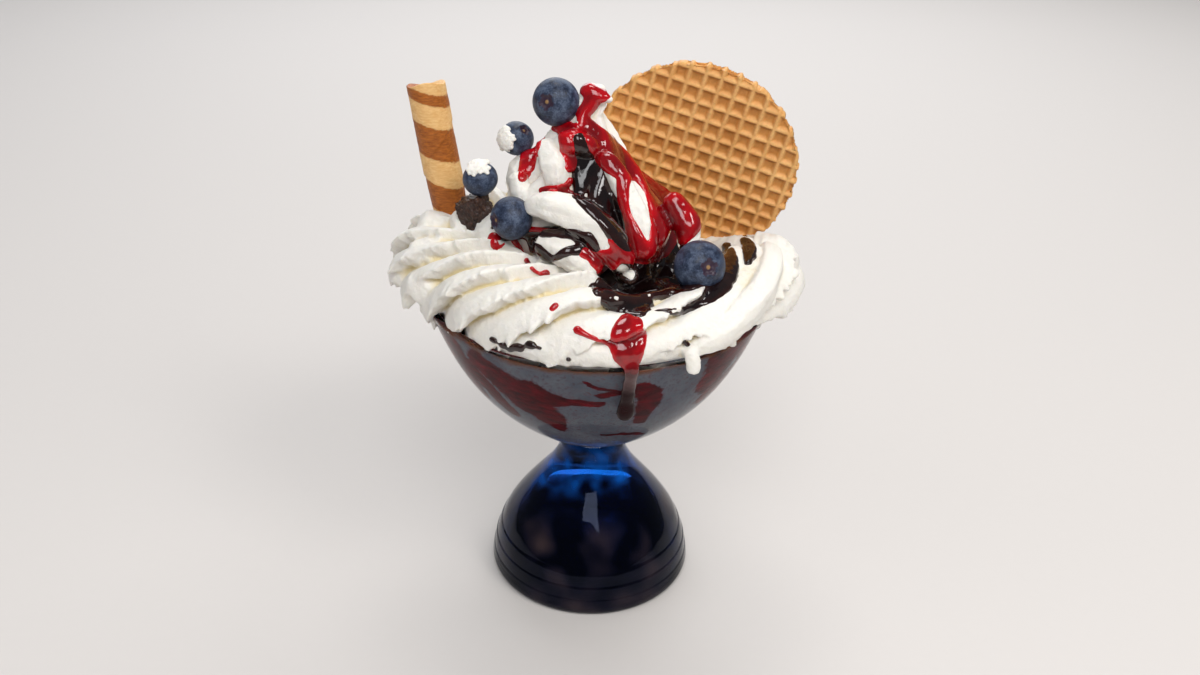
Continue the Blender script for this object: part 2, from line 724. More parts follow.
def hangAt(turn):
    # How far cream may hang below the rim outside the glass
    degrees = math.degrees(turn) % 360
    left = math.exp(-((degrees - 182) / 30) ** 2)
    right = max(math.exp(-((degrees - 8) / 22) ** 2), math.exp(-((degrees - 368) / 22) ** 2))
    return (1.0 + 9.0 * left + 7.0 * right) * mm


def collarMesh(bm):
    around, across = ((620, 7 * 32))
    made = bmesh.ops.create_grid(bm, x_segments=around, y_segments=across, size=0.5)
    stations = [stationAt(tau * i / around) for i in range(around)]
    stations.append(stations[0])
    crest = collar["crest"]
    for v in made["verts"]:
        i = round((v.co.x + 0.5) * around)
        turn = tau * i / around
        share = v.co.y + 0.5
        reach, width, rise, height = stations[i]
        s = (share * collar["ridges"]) % 1.0
        phi = tau * (share + twistAt(turn))
        out = Vector((math.cos(turn), math.sin(turn), 0.0))
        base = out * (reach + width * math.cos(phi)) + Vector((0, 0, height + rise * math.sin(phi)))
        edge = nearCrest(s, crest)
        swell = 1.0 + 0.05 * noise.noise(base * 55.0)
        away = base - collar["poolAt"]
        under = max(0.0, 1.0 - sum((a / h) ** 2 for a, h in zip(away, collar["poolHalves"])))
        depth = collar["depth"] * (1.0 + 0.35 * noise.noise(base * 38.0 + Vector((5, 0, 0)))) * (1.0 - 0.8 * under)
        ridge = swell * (1.0 - depth * (1.0 - ridgeHeight(s, crest)))
        # torn crest: lumps that grow towards the outer and lower side, and a comb of fine striations
        comb = Vector((math.cos(turn) * 34.0, math.sin(turn) * 34.0, 0.0)) + Vector((math.cos(phi), math.sin(phi), 0.4)) * 2.0
        striation = noise.noise(comb)
        outer = 0.45 + 0.55 * max(0.0, 0.5 + 0.5 * math.cos(phi + 0.6))
        torn = tornEdge(base, 1.7 * mm)
        torn *= 1.0 - under
        ridge += edge * outer * (3.0 * torn + 0.40 * striation) * mm / width
        ridge += (1.0 - edge) * 0.16 * striation * mm / width
        phi -= collar["lean"] * edge * (1.0 + 1.6 * torn * outer)
        away, level = reach + width * ridge * math.cos(phi), height + rise * ridge * math.sin(phi)
        if away > glass["rimRadius"] - 1.5 * mm:
            least = glass["rimHeight"] + 1.2 * mm - hangAt(turn) * (0.35 + 0.65 * min(1.0, 1.6 * torn))
            level = max(level, least + 0.15 * (level - least))
        v.co = out * away + Vector((0, 0, level))
    bmesh.ops.remove_doubles(bm, verts=made["verts"], dist=0.02 * mm)


def petalMesh(bm, route, radii, seed):
    path = easedPath([Vector(p) * mm for p in route], 24)
    sizes = []
    for i in range(len(path)):
        at = i / 24
        low = min(int(at), len(radii) - 2)
        sizes.append((radii[low] + (radii[low + 1] - radii[low]) * (at - low)) * mm)

    def shape(share, turn):
        flutes = 0.10 * abs(math.sin(2.5 * turn + seed))
        ragged = 0.10 * noise.noise(Vector((share * 9.0, 3.2 * math.cos(turn), 3.2 * math.sin(turn) + seed)))
        return 1.0 - flutes + ragged

    sweptForm(bm, path, sizes, sides=60, shape=shape)


def creamFinish():
    made = Finish("whippedCream", Roughness=0.55, Specular_IOR_Level=0.3, Subsurface_Weight=0.12)
    made.shader.inputs["Subsurface Radius"].default_value = (1.0, 0.75, 0.45)
    made.shader.inputs["Subsurface Scale"].default_value = 2.2 * mm
    hollow = made.spread(made.attribute("hollow"), 0.10, 1.7)
    clouds = made.noise(7 * mm, detail=3.0)
    white = made.blend(clouds, (0.84, 0.805, 0.735), (0.87, 0.845, 0.79))
    ivory = made.blend(hollow, white, (0.74, 0.62, 0.36))
    pores = made.noise(0.35 * mm, detail=3.0, rough=0.6)
    lumps = made.noise(1.1 * mm, detail=3.0, rough=0.6)
    skin = made.bump(lumps, 0.28 * mm)
    skin = made.bump(pores, 0.08 * mm, before=skin)
    return made.into(Base_Color=ivory, Normal=skin)


def roughened(obj, size, amount, seed):
    points, ways = places(obj.data), normalsOf(obj.data)
    push = np.empty(len(points))
    for i, p in enumerate(points):
        at = Vector(p) / size + Vector((seed, 0, 0))
        push[i] = noise.noise(at) + 0.5 * noise.noise(at * 2.1)
    movedTo(obj.data, points + ways * (push * amount)[:, None])


whipped = creamFinish()


def cutByGlass(obj):
    # Cream stays out of the glass and its filling
    top = glass["rimHeight"] + 0.36 * glass["wall"]
    inner = glass["rimRadius"] - glass["wall"]
    profile = [(0.0, glass["bottom"] - 3 * mm)] + list(reversed(bowlSide(-0.05 * mm, 50)))
    profile += [(glass["rimRadius"] + 0.05 * mm, top), (inner - 0.2 * mm, top)]
    profile += [(inner - 2.2 * mm, scoop["level"]), (0.0, scoop["level"])]
    cutter = toObject("glassRoom", turnedForm(profile, 128), whipped)
    step = obj.modifiers.new("room", "BOOLEAN")
    step.operation = "DIFFERENCE"
    step.solver = "MANIFOLD"
    step.object = cutter
    applyStack(obj)
    bpy.data.objects.remove(cutter)


def buildCollar():
    bm = bmesh.new()
    collarMesh(bm)
    for seed, (route, radii) in enumerate(collar["petals"]):
        petalMesh(bm, route, radii, seed)
    for centre, halves in collar["mounds"]:
        blob(bm, Vector(centre) * mm, Vector(halves) * mm)
    strip = collar["strip"]
    path, sizes = [], []
    for i in range(121):
        turn = math.radians(strip["from"] + (strip["to"] - strip["from"]) * i / 120)
        path.append(Vector((strip["reach"] * math.cos(turn), strip["reach"] * math.sin(turn), strip["height"])))
        sizes.append(strip["radius"] * (0.6 + 0.4 * math.sin(math.pi * i / 120)))

    def shape(share, turn):
        low = max(0.0, -math.sin(turn))
        at = Vector((share * 42.0, 2 * math.cos(turn), 2 * math.sin(turn)))
        return 1.0 + 0.10 * noise.noise(at * 0.4) + 0.30 * low * max(0.0, noise.noise(at))

    sweptForm(bm, path, sizes, sides=48, shape=shape)
    bmesh.ops.recalc_face_normals(bm, faces=bm.faces)
    obj = toObject("creamCollar", bm, whipped)
    remeshed(obj, collar["voxel"])
    roughened(obj, 1.5 * mm, 0.15 * mm, 3)
    cutByGlass(obj)
    thinnedTo(obj, collar["mostTriangles"])
    hollowness(obj.data, 70)
    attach(obj, "root")
    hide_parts("whipped_cream")
    return obj


def peakAt(share, column):
    for low, high in zip(peak["form"], peak["form"][1:]):
        if share <= high[0]:
            t = (share - low[0]) / (high[0] - low[0])
            return (low[column] + (high[column] - low[column]) * t) * mm
    return peak["form"][-1][column] * mm


def buildPeak():
    bm = bmesh.new()
    rows, columns = ((220, 6 * 34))
    made = bmesh.ops.create_grid(bm, x_segments=rows, y_segments=columns, size=0.5)
    for v in made["verts"]:
        share, angle = v.co.x + 0.5, v.co.y + 0.5
        radius, shift = peakAt(share, 1), peakAt(share, 2)
        s = (angle * peak["ridges"]) % 1.0
        phi = tau * angle + peak["twist"] * share
        z = peak["base"] + (peak["top"] - peak["base"]) * share
        at = Vector((radius * math.cos(phi), radius * math.sin(phi), z))
        edge = nearCrest(s, 0.22)
        r = radius * (1.0 - peak["depth"] * (1.0 - ridgeHeight(s, 0.22)))
        r += edge * 1.0 * mm * tornEdge(at, 1.8 * mm) * min(1.0, radius / (8 * mm))
        r *= min(1.0, (1.0 - share) / 0.012, share / 0.012) ** 0.5 if 0 < share < 1 else 0.0
        v.co = (shift + r * math.cos(phi), r * math.sin(phi), z)
    bmesh.ops.remove_doubles(bm, verts=made["verts"], dist=0.02 * mm)
    for seed, (route, radii) in enumerate(peak["lobes"]):
        petalMesh(bm, route, radii, seed + 20)
    bmesh.ops.recalc_face_normals(bm, faces=bm.faces)
    obj = toObject("creamPeak", bm, whipped)
    remeshed(obj, peak["voxel"])
    roughened(obj, 1.5 * mm, 0.15 * mm, 9)
    thinnedTo(obj, peak["mostTriangles"])
    hollowness(obj.data, 70)
    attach(obj, "root")
    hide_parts("whipped_cream")
    return obj


creamCollar = buildCollar()
creamPeak = buildPeak()
creamTrees = [treeOf(creamCollar), treeOf(creamPeak)]


def calmTree(obj, rounds):
    # The same form with its small relief smoothed away, for sauce to lie on
    mesh = obj.data.copy()
    movedTo(mesh, averaged(mesh, places(mesh), rounds))
    bm = bmesh.new()
    bm.from_mesh(mesh)
    bpy.data.meshes.remove(mesh)
    tree = BVHTree.FromBMesh(bm)
    bm.free()
    return tree


calmTrees = [calmTree(creamCollar, 14), calmTree(creamPeak, 14)]
print("cream ready:", len(creamCollar.data.polygons), len(creamPeak.data.polygons))


# Sauces: strokes drawn on the upright plane through the axis, cast from the eye onto the cream
sauce = {
    "eye": Vector((1.6, -350.0, 285.0)) * mm,
    # points are across, up and half width in millimetres
    "berry": (
        # cap
        ((-8.0, 182.0, 1.8), (-5.4, 180, 2.6), (-1.6, 177.8, 2.8), (2.8, 178.0, 1.3)),
        ((-2.5, 177.0, 3.0), (-4.0, 174.2, 2.8), (-6.0, 171.7, 2.4)),
        ((-15.3, 167.9, 2.0), (-11.2, 167.1, 2.8), (-7.2, 165.9, 2.4)),
        ((-12, 165, 1.8), (-10.4, 161, 2.8), (-9, 156, 2.5), (-9.8, 153.5, 1.6)),
        # broad ribbon down the right, parted round a bare patch
        ((-5.7, 169.8, 2.2), (-1.1, 163.2, 4.6), (4.4, 157, 5.2), (8.5, 153.5, 4.2)),
        ((8.0, 153.5, 3.2), (7.6, 147, 2.4), (8.8, 139, 2.2), (12, 130, 3.6), (14.5, 125.5, 4.0)),
        ((10.8, 154.2, 2.4), (16.8, 147.5, 3.2), (20.4, 138.5, 4.4), (21.5, 129, 5.2), (20, 124.0, 4.6)),
        ((4.5, 129.5, 1.9), (9, 124, 3.2), (16, 122.5, 3.2), (20.5, 123.5, 3.0)),
        # fold behind
        ((12.8, 153.9, 2.2), (17.6, 152, 2.8), (23.3, 147.4, 3.8), (29.4, 142.5, 3.4), (31.1, 135.5, 2.8), (27.9, 130.1, 2.4)),
        ((19.6, 143.9, 4.4), (23.5, 139.5, 5.2), (26.5, 133.5, 4.4)),
        # left flow
        ((-17.5, 166.9, 2.0), (-20.3, 162.9, 2.7), (-22.2, 159.5, 3.2), (-22.9, 154.5, 3.2), (-24.8, 150, 1.9)),
        # thin lines
        ((-19, 146, 0.9), (-15, 147.5, 1.1), (-10.5, 148.5, 1.4), (-9.5, 150, 1.2)),
        ((-19, 145.5, 0.8), (-14, 145.5, 1.0), (-9, 145.5, 1.0), (-5, 142.5, 0.8)),
        ((-28, 132, 1.0), (-22, 132.5, 1.1), (-12, 131.5, 1.0)),
        # jelly
        ((-5, 125, 2.4), (-1, 123.5, 3.5), (1, 121.5, 3.8), (4, 123, 3.5), (5, 120, 3.0)),
        ((1, 121.5, 3.5), (2.5, 117, 3.2), (2, 114, 2.1)),
        # drizzles
        ((-28, 128.5, 1.2), (-25, 124, 1.1), (-22.5, 119, 0.9), (-19.5, 116.5, 0.7), (-17, 116.5, 1.5)),
        ((-34, 129, 2.4), (-33.5, 124.5, 1.2), (-31, 127, 1.0)),
        ((-15, 103, 1.1), (-13.5, 104.5, 1.2)),
        ((-6.5, 95.5, 1.4), (-2, 93, 0.9), (3.5, 91, 0.9), (6, 89.5, 1.1)),
        # blob over the rim
        ((10.5, 99, 3.5), (10.5, 94, 5.9), (11, 88, 6.2), (11.5, 84, 3.8)),
        ((14, 99, 2.4), (15, 92, 3.2), (13.5, 85, 3.2)),
    ),
    "chocolate": (
        ((-7.5, 166, 1.6), (-6.4, 162, 2.6), (-5.4, 156, 3.4), (-5.5, 149.5, 3.4), (-6.8, 146, 1.9)),
        ((-3, 158, 2.6), (-1.5, 151, 3.6), (0.5, 145, 3.8)),
        ((-7.8, 144.8, 1.5), (-2.9, 140.4, 2.4), (2.5, 134.6, 2.6), (7.3, 127.7, 2.8), (10, 123.5, 2.8)),
        ((-0.3, 146, 3.8), (4.3, 140.5, 4.0), (7, 136, 3.6), (9.5, 130.6, 3.0)),
        # band across the collar, round a hole
        ((-30.5, 129.5, 2.1), (-25.5, 130.5, 2.1), (-17.5, 131.5, 2.3), (-9, 131, 2.5), (-3.5, 129, 2.7)),
        ((-3.5, 130, 2.4), (-1.5, 127, 2.4), (0, 123.5, 2.1)),
        ((-22.5, 128.5, 1.4), (-19, 124.5, 2.5), (-15, 122, 1.5), (-10.5, 124.5, 2.1), (-6, 125.5, 2.4)),
        # pool
        ((-0.5, 112, 2.4), (3, 107.5, 2.7), (9, 105, 3.0), (15, 103, 2.7)),
        ((2.5, 114.5, 3.8), (6, 117, 4.0), (14, 118.5, 4.3), (22.5, 121, 4.8), (27, 124.5, 4.3)),
        ((4.5, 110.5, 4.3), (14.5, 112.5, 4.8), (22.5, 115.5, 4.8), (31, 118, 4.8)),
        ((9.5, 107.5, 3.8), (18, 110.5, 3.5), (24, 113, 3.5), (31, 114.5, 3.5), (38.5, 117, 3.8)),
        ((15, 103.5, 2.1), (19, 104.5, 1.5), (26, 103.5, 1.6), (32.5, 106, 2.1), (39, 109.5, 2.4), (43.5, 113.5, 2.3)),
        ((43, 113, 2.1), (45, 118, 2.3), (44.5, 124, 2.3), (42.5, 128, 2.1)),
        ((17.5, 108, 1.6), (17.5, 104, 1.5)),
        ((38, 111.5, 2.4), (41, 117, 3.2), (40, 123, 3.5)),
        ((24.5, 122, 3.8), (24, 126.5, 3.5), (24.5, 130, 2.4)),
        ((48.2, 130.5, 2.1), (50, 127, 2.8), (50, 123, 1.5)),
        # crumbs of cake by the rim
        ((-35.5, 91, 1.0), (-34.0, 90.2, 1.1)),
        ((-32.0, 88.9, 1.3), (-31.0, 88.6, 1.2)),
        ((-29.4, 87.6, 1.5), (-27.0, 88.3, 1.5), (-25.4, 87.8, 1.5)),
        ((-22.8, 89.2, 1.5), (-21.2, 88.8, 1.4)),
        ((-19.2, 88.0, 0.8), (-18.6, 87.8, 0.7)),
        ((-9.3, 84.0, 0.9), (-8.6, 83.8, 0.7)),
        ((30.1, 92.3, 0.8), (32.0, 90.6, 1.0)),
    ),
    # places that stay bare of sauce
    "bare": (
        ((19.5, 104.6, 1.0), (25, 106.8, 1.7), (31, 107.9, 1.1)),
        ((8.4, 119.0, 1.6), (11, 117.0, 1.3)),
    ),
    "drip": {"turn": math.radians(-79), "end": 95.2 * mm, "half": 2.3 * mm, "bead": 3.0 * mm, "thick": 0.95 * mm},
    "voxel": 0.40 * mm,
    "thinTo": 1.5,          # strokes up to this half width are strands, wider ones are films
    "sunk": 1.4 * mm,       # how far a film's edge dips under the cream
    "film": 1.1 * mm,
    "fills": 0.75,          # how far a film levels out the grooves below it
    "mostTriangles": 170000,
}


def castDown(across, up):
    # Where the sight line through a sketched point meets the cream, and how the cream faces there
    aim = Vector((across * mm, 0.0, up * mm))
    way = (aim - sauce["eye"]).normalized()
    hits = [tree.ray_cast(sauce["eye"], way) for tree in calmTrees]
    hits = [hit for hit in hits if hit[0]] or [tree.find_nearest(aim) for tree in calmTrees]
    hit = min(hits, key=lambda h: h[3])
    return hit[0], hit[1]


def strokeBlobs(bm, stroke, thick):
    route = easedPath([Vector(p) for p in stroke], 14)
    spots = [castDown(p.x, p.y) for p in route]
    count = len(spots)
    for i, point in enumerate(route):
        near = spots[max(0, i - 4):i + 5]
        centre = sum((p for p, n in near), Vector()) / len(near)
        facing = sum((n for p, n in near), Vector()).normalized()
        centre = centre * 0.5 + spots[i][0] * 0.5
        half = point.z * (1.0 + 0.10 * noise.noise(Vector((i * 0.25, count, 0.5))))
        lift = (0.20 * half + thick) * mm
        turn = facing.to_track_quat("Z", "Y").to_matrix().to_4x4()
        blob(bm, centre + facing * 0.35 * lift, (half * mm, half * mm, lift), turn)


def addDrip(bm):
    # Sauce that has run over the rim and down the outside of the bowl, ending in a bead
    drip = sauce["drip"]
    out = Vector((math.cos(drip["turn"]), math.sin(drip["turn"]), 0.0))
    turn = out.to_track_quat("Z", "Y").to_matrix().to_4x4()
    top = glass["rimHeight"] + 2.2 * mm
    for i in range(61):
        share = i / 60
        height = top + (drip["end"] - top) * share
        over = max(0.0, height - glass["rimHeight"] - 0.4 * mm)
        reach = bowlReach(0.0, min(height, glass["rimHeight"])) - 1.3 * over
        swell = math.exp(-((1.0 - share) / 0.16) ** 2)
        half = drip["half"] * (1.0 + 0.12 * noise.noise(Vector((share * 6, 0, 0)))) * (1 - swell) + drip["bead"] * swell
        thick = drip["thick"] * (1.0 + 0.9 * swell)
        blob(bm, out * (reach + 0.15 * mm + thick) + Vector((0, 0, height)), (half, half, thick), turn)


def sketchOf(points):
    # Where points lie on the upright plane through the axis, as seen from the eye
    eye = np.array(sauce["eye"])
    share = -eye[1] / (points[:, 1] - eye[1])
    return (eye + (points - eye) * share[:, None])[:, (0, 2)] / mm


def marksOf(strokes):
    marks = []
    for stroke in strokes:
        marks += [tuple(p) for p in easedPath([Vector(p) for p in stroke], 16)]
    return np.array(marks)


def sharesOf(spots, marks):
    # Distance from each spot to the nearest mark as a share of its half width, and which mark that is
    away = np.hypot(spots[:, None, 0] - marks[None, :, 0], spots[:, None, 1] - marks[None, :, 1])
    share = away / marks[None, :, 2]
    best = share.argmin(axis=1)
    return share[np.arange(len(spots)), best], best


def filmHeights(points, ways, strokes, thick):
    # Sauce height over each point: full in the middle of a stroke and rounded off to nothing at its edge
    marks, bare = marksOf(strokes), marksOf(sauce["bare"])
    spots = sketchOf(points)
    eye = np.array(sauce["eye"])
    sight = eye - points
    sight /= np.linalg.norm(sight, axis=1)[:, None]
    low, high = marks[:, :2].min(axis=0) - 6, marks[:, :2].max(axis=0) + 6
    asked = np.where(((spots > low) & (spots < high)).all(axis=1) & ((sight * ways).sum(axis=1) > 0.05))[0]
    heights = np.zeros(len(points))
    for start in range(0, len(asked), 4000):
        rows = asked[start:start + 4000]
        least, best = sharesOf(spots[rows], marks)
        full = thick + 0.16 * marks[best, 2]
        full *= sharesOf(spots[rows], bare)[0] > 1
        heights[rows] = np.where(least < 1, full * np.sqrt(np.clip(1 - least ** 2.6, 0, 1)), 0)
    for i in np.where(heights > 0)[0]:
        start = Vector(points[i]) + Vector(ways[i]) * 1.5 * mm
        for tree in calmTrees:
            hit = tree.ray_cast(start, Vector(sight[i]))
            if hit[0] and hit[3] > 3 * mm:
                heights[i] = 0
    return heights


def addFilm(bm, source, strokes, thick):
    mesh = source.data.copy()
    points = averaged(mesh, places(mesh), 14)
    movedTo(mesh, points)
    ways = normalsOf(mesh).astype(np.float64)
    heights = filmHeights(points, ways, strokes, thick)
    # the sauce levels out the grooves it lies over
    level = ((averaged(mesh, points, 90) - points) * ways).sum(axis=1) / mm
    heights += sauce["fills"] * np.clip(level, 0.0, 3.5) * np.clip(heights / 0.9, 0.0, 1.0)
    sunk = sauce["sunk"] * np.exp(-heights / (0.35))
    movedTo(mesh, points + ways * ((heights * mm - sunk))[:, None])
    film = bmesh.new()
    film.from_mesh(mesh)
    under = film.verts.layers.float_vector.new("under")
    for v in film.verts:
        v[under] = Vector(ways[v.index])
    bare = [f for f in film.faces if all(heights[v.index] == 0 for v in f.verts)]
    bmesh.ops.delete(film, geom=bare, context="FACES")
    made = bmesh.ops.extrude_face_region(film, geom=film.faces[:], use_keep_orig=True)
    for v in made["geom"]:
        if isinstance(v, bmesh.types.BMVert):
            v.co -= v[under] * sauce["film"]
    bmesh.ops.recalc_face_normals(film, faces=film.faces[:])
    film.to_mesh(mesh)
    film.free()
    bm.from_mesh(mesh)
    bpy.data.meshes.remove(mesh)


def sauceFinish(name, thin, middle, deep):
    made = Finish(name, Roughness=0.07, Specular_IOR_Level=0.5, Coat_Weight=0.5, Coat_Roughness=0.02)
    depth = made.attribute("depth")
    onGlass = made.attribute("onGlass")
    drift = made.noise(4 * mm, detail=3.0)
    place = made.sum(depth, made.spread(drift, 0.3, 0.7, -0.25, 0.25))
    colour = made.ramp(made.spread(place, 0.2, 2.4), (0.0, thin), (0.40, middle), (1.0, deep))
    colour = made.blend(onGlass, colour, (0.012, 0.0005, 0.001))
    waves = made.bump(made.noise(3.4 * mm, detail=1.0), 0.35 * mm)
    gloss = made.spread(onGlass, 0.0, 1.0, 0.5, 0.12)
    coat = made.spread(onGlass, 0.0, 1.0, 0.5, 0.05)
    return made.into(Base_Color=colour, Normal=waves, Specular_IOR_Level=gloss, Coat_Weight=coat)


def buildSauce(name, strokes, material, thick):
    bm = bmesh.new()
    broad = [stroke for stroke in strokes if max(p[2] for p in stroke) > sauce["thinTo"]]
    for stroke in strokes:
        if stroke not in broad:
            strokeBlobs(bm, stroke, thick)
    for cream in (creamCollar, creamPeak):
        addFilm(bm, cream, broad, thick)
    if name == "berrySauce":
        addDrip(bm)
    obj = toObject(name, bm, material)
    remeshed(obj, sauce["voxel"])
    softened(obj, 12)
    thinnedTo(obj, sauce["mostTriangles"])
    values = []
    for v in obj.data.vertices:
        values.append(min(tree.find_nearest(v.co)[3] for tree in creamTrees) / mm)
    smooth = averaged(obj.data, np.array(values)[:, None], 3)[:, 0]
    paint(obj.data, "depth", smooth)
    below = (glass["rimHeight"] - 4 * mm - places(obj.data)[:, 2]) / (5 * mm)
    paint(obj.data, "onGlass", np.clip(below, 0.0, 1.0) * (smooth > 1.5))
    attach(obj, "root")
    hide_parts("whipped_cream")
    return obj


redFinish = sauceFinish("berrySauce", (0.54, 0.001, 0.006), (0.22, 0.0004, 0.003), (0.045, 0.0003, 0.0015))
darkFinish = sauceFinish("chocolateSauce", (0.026, 0.006, 0.004), (0.006, 0.002, 0.002), (0.003, 0.0015, 0.0015))
buildSauce("berrySauce", sauce["berry"], redFinish, 0.7)
buildSauce("chocolateSauce", sauce["chocolate"], darkFinish, 0.7)
print("sauces ready")


# Waffle disc: square pockets on both sides
waffle = {
    "radius": 35.3 * mm,
    "thick": 3.6 * mm,
    "sink": 1.25 * mm,
    "pitch": 5.3 * mm,
    "centre": Vector((31.3, 22.0, 149.7)) * mm,
    "yaw": math.radians(-12),
    "lean": math.radians(8),
    "turn": math.radians(15),
}


def waffleFrame():
    yaw = Matrix.Rotation(waffle["yaw"], 4, "Z")
    stand = Matrix.Rotation(math.pi / 2 + waffle["lean"], 4, "X")
    return Matrix.Translation(waffle["centre"]) @ yaw @ stand


def pocketDepth(x, y):
    # 0 on the ridges and 1 on a pocket's floor, with sloped walls
    pitch = waffle["pitch"]
    a = abs((x / pitch) % 1.0 - 0.5) * 2
    b = abs((y / pitch) % 1.0 - 0.5) * 2
    wall = max(a, b)
    return min(1.0, max(0.0, (0.86 - wall) / 0.40))


def waffleFinish():
    made = Finish("bakedWaffle", Roughness=0.5, Specular_IOR_Level=0.4, Subsurface_Weight=0.08)
    made.shader.inputs["Subsurface Scale"].default_value = 1.0 * mm
    pocket = made.attribute("pocket")
    brown = made.noise(9 * mm, detail=3.0)
    crumb = made.noise(0.9 * mm, detail=4.0, rough=0.65)
    ridge = made.ramp(brown, (0.30, (0.76, 0.38, 0.12)), (0.70, (0.86, 0.50, 0.19)))
    floor = made.ramp(brown, (0.30, (0.60, 0.25, 0.055)), (0.70, (0.74, 0.35, 0.095)))
    colour = made.blend(made.spread(pocket, 0.0, 0.9), ridge, floor)
    colour = made.blend(made.spread(crumb, 0.45, 0.75, 0.0, 0.35), colour, (0.42, 0.18, 0.05))
    colour = made.blend(made.spread(made.attribute("shaded"), 0.0, 1.0, 0.0, 0.85), colour, (0.33, 0.10, 0.015))
    edge = made.spread(made.attribute("rim"), 0.0, 1.0, 0.0, 0.5)
    colour = made.blend(edge, colour, (0.66, 0.33, 0.09))
    holes = made.spread(made.cells(1.6 * mm), 0.0, 0.22, 0.0, 1.0)
    skin = made.bump(crumb, 0.18 * mm)
    skin = made.bump(holes, 0.12 * mm, before=skin)
    return made.into(Base_Color=colour, Normal=skin)


def buildWaffle():
    bm = bmesh.new()
    count = 230
    reach = waffle["radius"] * 1.02
    sheets = []
    for side in (1, -1):
        made = bmesh.ops.create_grid(bm, x_segments=count, y_segments=count, size=reach)
        sheets.append(made["verts"])
        for v in made["verts"]:
            v.tag = side > 0
    # square sheets are drawn to discs: each ring of the grid keeps its place until near the edge
    rim = waffle["radius"]
    outside = [f for f in bm.faces if f.calc_center_median().length > rim * 0.985]
    bmesh.ops.delete(bm, geom=outside, context="FACES")
    cosT, sinT = math.cos(waffle["turn"]), math.sin(waffle["turn"])
    for v in bm.verts:
        if v.is_boundary:
            angle = math.atan2(v.co.y, v.co.x)
            u, w = v.co.x * cosT - v.co.y * sinT, v.co.x * sinT + v.co.y * cosT
            ragged = 1.0 - 0.016 * (0.5 + 0.5 * noise.noise(Vector((8 * math.cos(angle), 8 * math.sin(angle), 0.3))))
            ragged -= 0.020 * max(0.0, noise.noise(Vector((30 * math.cos(angle), 30 * math.sin(angle), 0))))
            ragged -= 0.034 * pocketDepth(u, w)
            v.co = v.co.normalized() * rim * ragged
    pockets, rims, shaded = [], [], []
    step = 0.12 * mm
    for v in bm.verts:
        x, y = v.co.x, v.co.y
        away = math.hypot(x, y)
        u, w = x * cosT - y * sinT, x * sinT + y * cosT
        inside = min(1.0, max(0.0, (rim - away) / (1.4 * mm)))
        deep = pocketDepth(u, w) * inside
        lump = noise.noise(Vector((x, y, 0)) * 900.0) * 0.10 * mm + noise.noise(Vector((x, y, 3)) * 260.0) * 0.16 * mm
        near = max(0.0, 1.0 - (rim - away) / (3.0 * mm))
        lump += near * 0.45 * mm * max(0.0, noise.noise(Vector((x, y, 7)) * 420.0))
        edge = 0.5 * mm * (1.0 - min(1.0, (rim - away) / (1.6 * mm))) ** 2
        z = waffle["thick"] / 2 - waffle["sink"] * deep - edge + lump * (1 - 0.3 * deep)
        v.co.z = z if v.tag else -z
        pockets.append(deep)
        fall = pocketDepth(u - step * sinT, w - step * cosT) - pocketDepth(u + step * sinT, w + step * cosT)
        shaded.append(max(0.0, fall * 3.2) * inside)
        rims.append(1.0 - min(1.0, max(0.0, (rim - away) / (2.5 * mm))))
    edges = [e for e in bm.edges if e.is_boundary]
    bmesh.ops.bridge_loops(bm, edges=edges)
    bmesh.ops.recalc_face_normals(bm, faces=bm.faces)
    bmesh.ops.transform(bm, matrix=waffleFrame(), verts=bm.verts)
    obj = toObject("bakedWaffle", bm, waffleFinish())
    paint(obj.data, "pocket", pockets)
    paint(obj.data, "rim", rims)
    paint(obj.data, "shaded", shaded)
    obj.data.shade_smooth()
    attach(obj, "root")
    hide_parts("waffle")


buildWaffle()
print("waffle ready")


# Rolled wafer with caramel bands
wafer = {
    "radius": 6.3 * mm,
    "slant": 0.22,
    "low": Vector((-47.0, 8.0, 121.0)) * mm,
    "high": Vector((-55.6, 8.0, 177.6)) * mm,
    "wraps": 1.6,
    "foot": 0.72,           # how slim the lower end is
    "bands": ((54.0, 1.9), (39.2, 5.5), (19.9, 4.8)),   # height of the middle and half width
}


def waferFinish():
    made = Finish("rolledWafer", Roughness=0.5, Specular_IOR_Level=0.4, Subsurface_Weight=0.06)
    made.shader.inputs["Subsurface Scale"].default_value = 1.0 * mm
    band = made.attribute("band")
    fibre = made.noise(1.0 * mm, detail=4.0, rough=0.65, vector=made.where(turn=(0, 0.5, 0), scale=(0.35, 1, 1.8)))
    ragged = made.sum(band, made.spread(fibre, 0.3, 0.7, -0.16, 0.16))
    tan = made.ramp(fibre, (0.30, (0.72, 0.38, 0.12)), (0.70, (0.88, 0.58, 0.26)))
    brown = made.ramp(fibre, (0.30, (0.22, 0.055, 0.006)), (0.70, (0.50, 0.15, 0.018)))
    colour = made.blend(made.spread(ragged, 0.42, 0.58), tan, brown)
    skin = made.bump(fibre, 0.22 * mm)
    return made.into(Base_Color=colour, Normal=skin)


